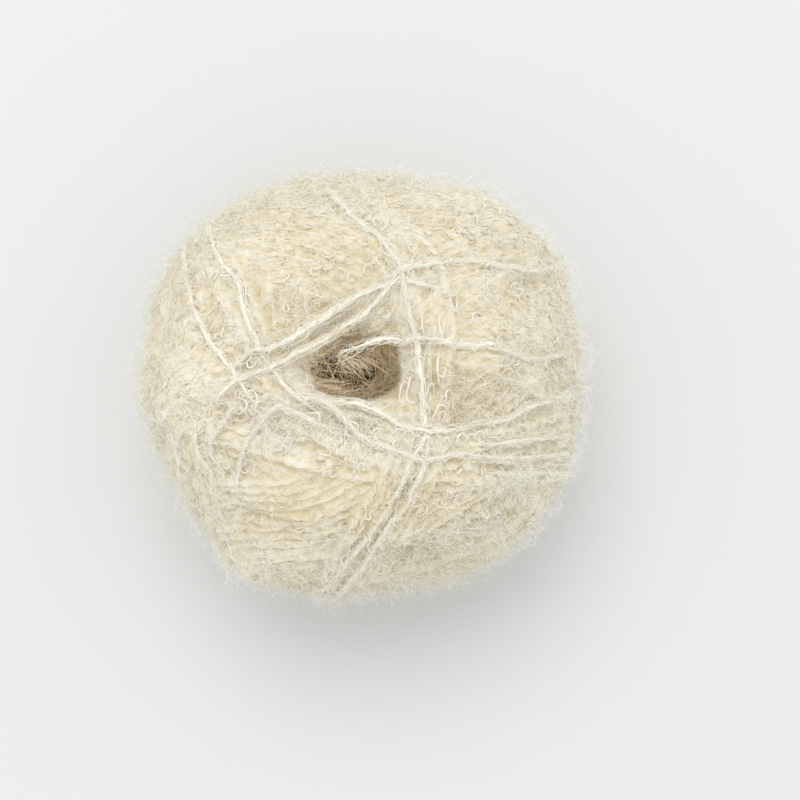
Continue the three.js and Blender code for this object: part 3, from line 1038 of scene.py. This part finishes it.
def seen_loops():
    """The loops that show singly in the photograph, and the row of them under a long strand."""
    out = Lines()
    table = [  # place in the photograph, across and along in millimetres, radius, turn
        ((443, 416), 3.6, 3.9, 0.22, 1.5),
        ((443, 417), 1.9, 2.1, 0.17, 0.4),
        ((417, 505), 3.2, 3.6, 0.20, 0.9),
        ((253, 402), 3.6, 4.6, 0.22, 2.6),
        ((243, 414), 2.4, 3.0, 0.18, 0.6),
        ((312, 418), 2.6, 3.2, 0.18, 1.0),
        ((400, 345), 3.0, 3.4, 0.20, 2.2),
        ((333, 437), 2.6, 3.4, 0.18, 2.9),
        ((352, 428), 2.6, 2.9, 0.18, 0.2),
        ((378, 436), 2.2, 2.6, 0.17, 1.2),
        ((537, 265), 3.0, 4.2, 0.2, 1.5),
        ((244, 405), 3.3, 3.6, 0.24, 0.6),
    ]
    # the long loops beside the hollow, nearly upright in the photograph: place, across and along, radius, degrees
    upright = [
        ((434, 364), 2.0, 8.6, 0.27, 88), ((449, 371), 2.3, 5.6, 0.28, 92), ((430, 316), 2.1, 6.6, 0.25, 84), ((446, 326), 2.0, 5.4, 0.24, 95),
        ((417, 392), 1.9, 7.4, 0.25, 84), ((436, 398), 1.9, 5.0, 0.24, 90), ((408, 396), 1.7, 6.5, 0.22, 80), ((453, 300), 1.9, 4.6, 0.23, 92),
        ((454, 402), 1.9, 4.6, 0.23, 98),
    ]
    for px, across, along_, thick, degrees in upright:
        d = on_ball([px])[0]
        t = unit(np.cross([0.2, 0.31, 0.9], d))
        b = np.cross(d, t)
        v = RIGHT * math.cos(math.radians(degrees)) + UP * math.sin(math.radians(degrees))
        v = v - d * (v @ d)
        table.append((px, across, along_, thick, math.atan2(v @ b, v @ t)))
    for k, (px, across, along_, thick, turn) in enumerate(table):
        d = on_ball([px])[0]
        h = float(surface(d[None], heights)[0]) - (0.35 if k < 12 else 0.75)
        ring = ring_loop(d, h, across, along_, thick, 0.05, turn, 600 + k)
        way_round = np.arange(len(ring)) * 0.42
        out.add(ring, thick * drift(rng(620 + k), way_round, 1.2, 0.55, 1.3), d)
    # the row: a thread that coils along its way
    way = [(392, 430), (405, 437), (428, 441), (450, 441), (472, 437), (490, 431)]
    d = resample(on_ball(smooth_curve(way, 10)), 0.16)
    t, b = along(d, False)
    s = np.arange(len(d)) * 0.16
    psi = s * TAU / 1.95
    h = surface(d, heights) + 0.3
    r = rng(640)
    size = drift(r, s, 1.9, 0.6, 1.25)
    p = place(d, h + 0.15 * np.sin(psi + 1.0)) + b * (1.2 * size * np.cos(psi) + 0.2)[:, None] + t * (0.55 * np.sin(psi) * size)[:, None]
    out.add(p, 0.16 * drift(r, s, 0.9, 0.6, 1.4), d[0])
    return out


tube_objects("seen_loops", seen_loops(), 4, wool_thread)


# ------------------------------------------------------------------ inside the hollow
def wall_at(z, angle, inwards=0.0):
    """Points on the hollow's wall at heights z, so far inwards of it."""
    wall = np.array(HOLLOW)
    rr = np.interp(z, wall[::-1, 1], wall[::-1, 0]) - inwards
    ring = np.stack([rr * np.cos(angle), rr * np.sin(angle), z], -1)
    q = hollow_shape(ring)
    reach = round_table(OPEN_REACH, angle) * 0.97 - inwards
    edge = np.stack([reach * np.cos(angle) + OPEN_X, reach * np.sin(angle) + OPEN_Y, z], -1)
    w = ease((77.0 - z) / 9.0)[..., None]
    q = edge * (1 - w) + q * w
    q[:, :2] += AXIS_XY
    return q


def inner_strands():
    """Strands lying round the hollow's wall."""
    out = Lines()
    for k in range(16):
        r = rng(700 + k)
        z0 = 76.5 - 1.1 * k
        a0 = r.uniform(0, TAU)
        a = a0 + np.linspace(0, r.uniform(3.6, 6.0), 70)
        z = z0 + 1.2 * np.sin(a + r.uniform(0, TAU)) + 0.4 * np.sin(3 * a)
        s = np.linspace(0, 40, 70)
        for half in (0, math.pi):
            psi = s * TAU / r.uniform(2.6, 3.8) + half
            q = wall_at(z + 0.4 * np.sin(psi), a, 0.5 + 0.3 * np.cos(psi) - 0.8 * (1 - ease(np.minimum(s, 40 - s) / 3)))
            out.add(q, 0.13 * drift(r, s, 3.0, 0.6, 1.3), np.array([0.0, 0.0, 1.0]))
    return out


tube_objects("hollow_strands", inner_strands(), 3, wool_inside_shaded)


# ------------------------------------------------------------------ the pile
def spindles(name, pts, thick, material, shade=None):
    """Closed three-sided hairs through pts, pointed at both ends."""
    count, n_pts, _ = pts.shape
    rings = n_pts - 2
    t = unit(pts[:, 2:] - pts[:, :-2])
    cur = unit(np.cross(t[:, 0], np.array([0.3, 0.5, 0.8]) + 0 * t[:, 0]))
    v = np.zeros((count, rings, 3))
    for k in range(rings):
        cur = unit(cur - (cur * t[:, k]).sum(-1, keepdims=True) * t[:, k])
        v[:, k] = cur
    w = np.cross(t, v)
    a = np.arange(3) * TAU / 3
    ring = pts[:, 1:-1, None] + (
        np.cos(a)[None, None, :, None] * v[:, :, None] + np.sin(a)[None, None, :, None] * w[:, :, None]
    ) * thick[:, None, None, None]
    per = 2 + 3 * rings
    verts = np.concatenate([pts[:, :1], pts[:, -1:], ring.reshape(count, -1, 3)], 1)
    faces4, faces3 = [], []
    for k in range(3):
        k2 = (k + 1) % 3
        faces3.append((0, 2 + k2, 2 + k))
        faces3.append((1, 2 + 3 * (rings - 1) + k, 2 + 3 * (rings - 1) + k2))
        for s in range(rings - 1):
            faces4.append((2 + 3 * s + k, 2 + 3 * s + k2, 2 + 3 * (s + 1) + k2, 2 + 3 * (s + 1) + k))
    base = np.arange(count) * per
    q = (base[:, None, None] + np.array(faces4, int).reshape(-1, 4)[None]).reshape(-1, 4)
    f = (base[:, None, None] + np.array(faces3)[None]).reshape(-1, 3)
    corners = np.concatenate([q.ravel(), f.ravel()])
    sizes = np.concatenate([np.full(len(q), 4), np.full(len(f), 3)])
    total = len(q) + len(f)
    across = int(math.ceil(math.sqrt(total)))
    at = np.arange(total)
    col, row = at % across, at // across
    sq = np.array([(0.04, 0.04), (0.96, 0.04), (0.96, 0.96), (0.04, 0.96)])
    uq = (np.stack([col, row], -1)[: len(q), None] + sq).reshape(-1, 2)
    uf = (np.stack([col, row], -1)[len(q) :, None] + sq[:3]).reshape(-1, 2)
    uv = np.vstack([uq, uf]) / across
    verts = verts.reshape(-1, 3)
    if shade is None:
        shade = shade_of(verts)
    else:
        shade = np.repeat(shade, per)
    ob = make_object(name, verts, corners, sizes, uv, {"shade": shade}, smooth=False)
    ob.data.materials.append(material)
    return finish(ob)


ROOT_D = np.vstack([run[0] for run in RUNS])
ROOT_H = np.concatenate([run[1] for run in RUNS])


def pile(name, count, seed, material, length, thick, rings, stand, curve=0.35, roots=None, spread=0.5, low=0.0, lean=2.2, crown=1.0):
    """Fine hairs that leave the strands, curve over the surface and end free."""
    r = rng(seed)
    pool_d, pool_h = (ROOT_D, ROOT_H) if roots is None else roots
    pick = r.integers(0, len(pool_d), count * 4)
    share = np.where(pool_d[pick, 2] < -0.5, 0.4, np.where(pool_d[pick, 2] > 0.6, crown, 1.0))
    keep = r.random(count * 4) < share
    if roots is None and low > 0:
        keep &= r.random(count * 4) < 0.45 + nubbed(pool_d[pick])
    pick = pick[keep][:count]
    d0, h0 = pool_d[pick], pool_h[pick]
    e1 = unit(np.cross(d0, r.normal(size=(count, 3))))
    e2 = np.cross(d0, e1)
    a = r.uniform(0, TAU, count)
    go = np.cos(a)[:, None] * e1 + np.sin(a)[:, None] * e2
    d0 = unit(d0 + (e1 * r.normal(size=count)[:, None] + e2 * r.normal(size=count)[:, None]) * spread / 48 * 0.6)
    bend = r.normal(size=count)[:, None] * np.cross(d0, go)
    size = (length[0] + (length[1] - length[0]) * r.uniform(0, 1, count) ** 1.5)[:, None]
    rise = stand[0] + (stand[1] - stand[0]) * r.uniform(0, 1, count) ** lean
    sag = r.uniform(0.0, 0.9, count)
    n_pts = rings + 2
    pts = np.zeros((count, n_pts, 3))
    base = place(d0, h0)
    for k in range(n_pts):
        u = k / (n_pts - 1)
        q = base + go * (size * u) + bend * (size * curve * u**2)
        dq = unit(q - CENTRE)
        ground = (1 - low) * surface(dq, heights) + low * (felt(dq) + 0.1) if k else h0 + r.uniform(-0.1, 0.3, count)
        level = ground + (rise * (u * (2 - u)) - sag * u**3 * rise * 0.8 + 0.05 if k else 0)
        pts[:, k] = place(dq, level)
    pts[..., 2] = np.maximum(pts[..., 2], 0.12)
    return spindles(name, pts, r.uniform(*thick, count), material)


pile("pile_long", 6000, 900, wool_haze, (3.0, 8.5), (0.028, 0.042), 2, (0.6, 6.0), lean=1.25, crown=0.4)
pile("pile_short_1", 28000, 901, wool_pile, (1.8, 4.8), (0.03, 0.048), 1, (0.3, 4.2), lean=1.6, crown=0.75)
pile("pile_short_2", 6200, 903, wool_pile, (1.2, 3.6), (0.045, 0.07), 1, (0.05, 0.7), spread=1.2, low=0.8)
line_roots = (
    np.vstack([st["d"][6:-6] for st in strands if st["kind"] == "line"]),
    np.concatenate([st["h"][6:-6] - 0.2 for st in strands if st["kind"] == "line"]),
)
pile("strand_pile", 4600, 902, wool_fluff, (0.8, 2.2), (0.045, 0.065), 1, (0.05, 0.5), roots=line_roots, spread=0.5)


def near_places(places):
    """The shown stretches of turns that lie in some places."""
    near = np.zeros(len(ROOT_D), bool)
    for px, wide in places:
        near |= np.linalg.norm(ROOT_D - on_ball([px])[0], axis=1) * 48 / PX < wide
    return ROOT_D[near], ROOT_H[near]


pile("fluff", 3000, 904, wool_fluff, (1.2, 3.5), (0.045, 0.065), 1, (0.3, 2.0), curve=0.6, roots=near_places(FLUFFED), spread=1.2, lean=1.2)
pile("matted_pile", 1000, 905, wool_matted, (1.5, 4.0), (0.05, 0.08), 1, (0.1, 0.7), curve=0.9, roots=near_places(MATTED), spread=1.3)


def hollow_hairs(name, count, seed, way, thick):
    """Hairs in the hollow: round its wall, in from its rim, or across it."""
    r = rng(seed)
    depth = 0.5 + 11.5 * r.uniform(0, 1, count) ** 1.2
    a0 = r.uniform(0, TAU, count)
    z0 = 78.6 - depth
    n_pts = 4
    axis = np.array([AXIS_XY[0] + HOLLOW_X, AXIS_XY[1] + HOLLOW_Y, 0.0])
    if way == "round":
        turn = r.normal(0, 0.55, count)
        start = wall_at(z0, a0, r.uniform(0, 0.6, count))
        end = wall_at(z0 + r.normal(0, 1.5, count), a0 + 0.25 * np.sign(turn) + turn, r.uniform(0.2, 2.5, count))
        pull, up = r.uniform(-0.15, 0.15, count), r.normal(0, 0.9, count)
    elif way == "in":
        start = wall_at(z0 + 0.5, a0, -0.3)
        end = wall_at(z0 - r.uniform(-1.0, 3.0, count), a0 + r.normal(0, 0.35, count), r.uniform(1.0, 5.0, count))
        pull, up = r.normal(0, 0.1, count), r.normal(0.5, 0.7, count)
    else:
        start = wall_at(z0, a0, 0.0)
        end = wall_at(z0 + r.normal(0, 2.0, count), a0 + r.uniform(1.3, 4.9, count), r.uniform(0, 4.0, count))
        pull, up = r.normal(0, 0.25, count), r.normal(0, 1.2, count)
    middle = (start + end) / 2
    inward = axis - middle
    inward[:, 2] = 0
    side = np.cross(inward, [0.0, 0.0, 1.0])
    middle = middle + inward * pull[:, None] + side * r.normal(0, 0.12, count)[:, None]
    middle[:, 2] += up
    pts = np.zeros((count, n_pts, 3))
    for k in range(n_pts):
        u = k / (n_pts - 1)
        pts[:, k] = start * (1 - u) ** 2 + middle * 2 * u * (1 - u) + end * u**2
    # painted shade: a hair is darker the deeper it starts and the nearer the +X side of the hollow
    shade = np.clip(0.72 - depth / 9.0 - 0.45 * np.cos(a0).clip(0, 1) ** 2 + r.normal(0, 0.28, count), 0, 1)
    return spindles(name, pts, r.uniform(*thick, count), wool_inside_shaded, shade)


hollow_hairs("hollow_hairs_round", 800, 950, "round", (0.03, 0.06))
hollow_hairs("hollow_hairs_in", 800, 951, "in", (0.03, 0.055))
hollow_hairs("hollow_hairs_across", 160, 952, "across", (0.03, 0.05))


def fans(table, seed):
    """Hairs that hang into the hollow in fans: where they start in the photograph, which way they go, how far they
    spread and reach down, how many, and how light, a painted shade that darkens each hair further the lower it hangs.
    """
    r = rng(seed)
    pts, shade = [], []
    for (x0, x1, y0, y1), (dx, dy), spread, (z0, z1), down, count, light in table:
        for _ in range(count):
            z = r.uniform(z0, z1)
            start = np.array([(r.uniform(x0, x1) - BALL_PX[0]) * 0.2115, (BALL_PX[1] - r.uniform(y0, y1)) * 0.2115 - 3.4, 0.0])
            if z0 < 1:  # hairs that lie on the surface
                d = unit(np.array([[start[0], start[1], 41.5]]))
                z += float(place(d, surface(d, heights))[0, 2])
            way = np.array([dx, -dy, 0.0]) * 0.2115 * r.uniform(0.5, 1.15)
            way[:2] += r.normal(0, spread * 0.2115, 2)
            drop = down * r.uniform(0.3, 1.0)
            bow = np.array([-way[1], way[0], 0.0]) * r.normal(0, 0.12)
            u = np.linspace(0, 1, 4)[:, None]
            p = start + way * u + bow * 4 * u * (1 - u)
            p[:, :2] += AXIS_XY
            p[:, 2] = z - drop * u[:, 0] ** 1.5
            pts.append(p)
            # painted shade: the lower a hair hangs, the darker
            shade.append(np.clip(light - drop / 9 + r.normal(0, 0.28), 0, 1))
    return spindles("hollow_hairs_fans", np.array(pts), r.uniform(0.03, 0.058, len(pts)), wool_inside_shaded, np.array(shade))


fans([
    ((364, 398, 340, 350), (2, 24), 5, (77.5, 79.6), 3.5, 190, 0.38),
    ((338, 366, 334, 346), (6, 10), 5, (76.0, 78.5), 2.5, 50, 0.6),
    ((330, 360, 338, 350), (20, -6), 6, (0.1, 0.8), 0.6, 130, 0.3),
    ((300, 314, 356, 374), (12, 2), 5, (0.1, 0.6), 0.6, 60, 0.3),
    ((308, 330, 382, 397), (32, 3), 4, (76.0, 78.5), 2.5, 70, 0.6),
    ((340, 368, 352, 364), (14, 10), 6, (76.5, 79.0), 2.0, 190, 1.05),
    ((400, 406, 362, 388), (-16, 4), 5, (77.0, 79.0), 3.0, 60, 0.5),
], 953)


def rim_hairs(count, seed):
    """Light hairs from the strands round the opening that reach in over its edge."""
    r = rng(seed)
    angle = r.normal(-0.1, 0.42, count) % TAU
    reach = round_table(OPEN_REACH, angle)
    out = reach * r.uniform(1.02, 1.3, count)
    swing = r.normal(0, 0.22, count)
    inner = reach * r.uniform(0.7, 1.05, count)
    pts = np.zeros((count, 3, 3))
    first = unit(np.stack([out * np.cos(angle) + OPEN_X, out * np.sin(angle) + OPEN_Y, np.full(count, 41.5)], -1))
    rim_z = place(first, surface(first, heights) + r.uniform(0.2, 1.2, count))[:, 2]
    for k, u in enumerate((0.0, 0.5, 1.0)):
        rad, ang = out * (1 - u) + inner * u, angle + swing * u
        x, y = rad * np.cos(ang) + OPEN_X, rad * np.sin(ang) + OPEN_Y
        d = unit(np.stack([x, y, np.full(count, 41.5)], -1))
        pts[:, k] = place(d, 0.0)
        pts[:, k, 2] = rim_z - u * u * r.uniform(0.0, 2.0, count) + (0.0, 0.4, 0.0)[k]
    return spindles("rim_hairs", pts, r.uniform(0.03, 0.055, count), wool_thread)


rim_hairs(360, 954)

# ------------------------------------------------------------------ stage, light and camera
def floor_material():
    m = bpy.data.materials.new("pale_floor")
    m.use_nodes = True
    nt = m.node_tree
    bs = nt.nodes["Principled BSDF"]
    bs.inputs["Roughness"].default_value = 0.75
    bs.inputs["Specular IOR Level"].default_value = 0.25
    noise = nt.nodes.new("ShaderNodeTexNoise")
    noise.inputs["Scale"].default_value = 3.0
    noise.inputs["Detail"].default_value = 2.0
    where = nt.nodes.new("ShaderNodeTexCoord")
    nt.links.new(where.outputs["Object"], noise.inputs["Vector"])
    mix = nt.nodes.new("ShaderNodeMix")
    mix.data_type = "RGBA"
    mix.inputs[6].default_value = (0.635, 0.642, 0.63, 1)
    mix.inputs[7].default_value = (0.66, 0.668, 0.66, 1)
    nt.links.new(noise.outputs["Fac"], mix.inputs[0])
    nt.links.new(mix.outputs[2], bs.inputs["Base Color"])
    return m


me = bpy.data.meshes.new("floor")
s = 3.0
me.from_pydata([(-s, -s, 0), (s, -s, 0), (s, s, 0), (-s, s, 0)], [], [(0, 1, 2, 3)])
floor = bpy.data.objects.new("floor", me)
bpy.context.scene.collection.objects.link(floor)
me.materials.append(floor_material())

scene = bpy.context.scene
world = bpy.data.worlds.new("soft_room")
scene.world = world
world.use_nodes = True
bg = world.node_tree.nodes["Background"]
bg.inputs[0].default_value = (0.97, 0.985, 1.0, 1)
bg.inputs[1].default_value = 1.08


def area_light(name, at, towards, size, power, colour=(1, 1, 1)):
    data = bpy.data.lights.new(name, "AREA")
    data.shape = "DISK"
    data.size = size
    data.energy = power
    data.color = colour
    ob = bpy.data.objects.new(name, data)
    ob.location = at
    from mathutils import Vector

    ob.rotation_euler = (Vector(towards) - Vector(at)).to_track_quat("-Z", "Y").to_euler()
    scene.collection.objects.link(ob)
    return ob


area_light("window", (-0.12, 0.48, 1.25), (0, 0, 0.04), 0.8, 6.0, (1.0, 0.99, 0.97))
scene.cycles.diffuse_bounces = 8
scene.cycles.max_bounces = 12

cam_data = bpy.data.cameras.new("camera")
cam_data.lens = FOCAL
cam_data.sensor_width = SENSOR
cam_data.clip_start = 0.01
cam = bpy.data.objects.new("camera", cam_data)
cam.location = EYE * MM
from mathutils import Vector

cam.rotation_euler = Vector(BACK).to_track_quat("Z", "Y").to_euler()
scene.collection.objects.link(cam)
scene.camera = cam
scene.view_settings.view_transform = "Standard"
scene.view_settings.look = "None"

print("triangles in all", sum(totals))
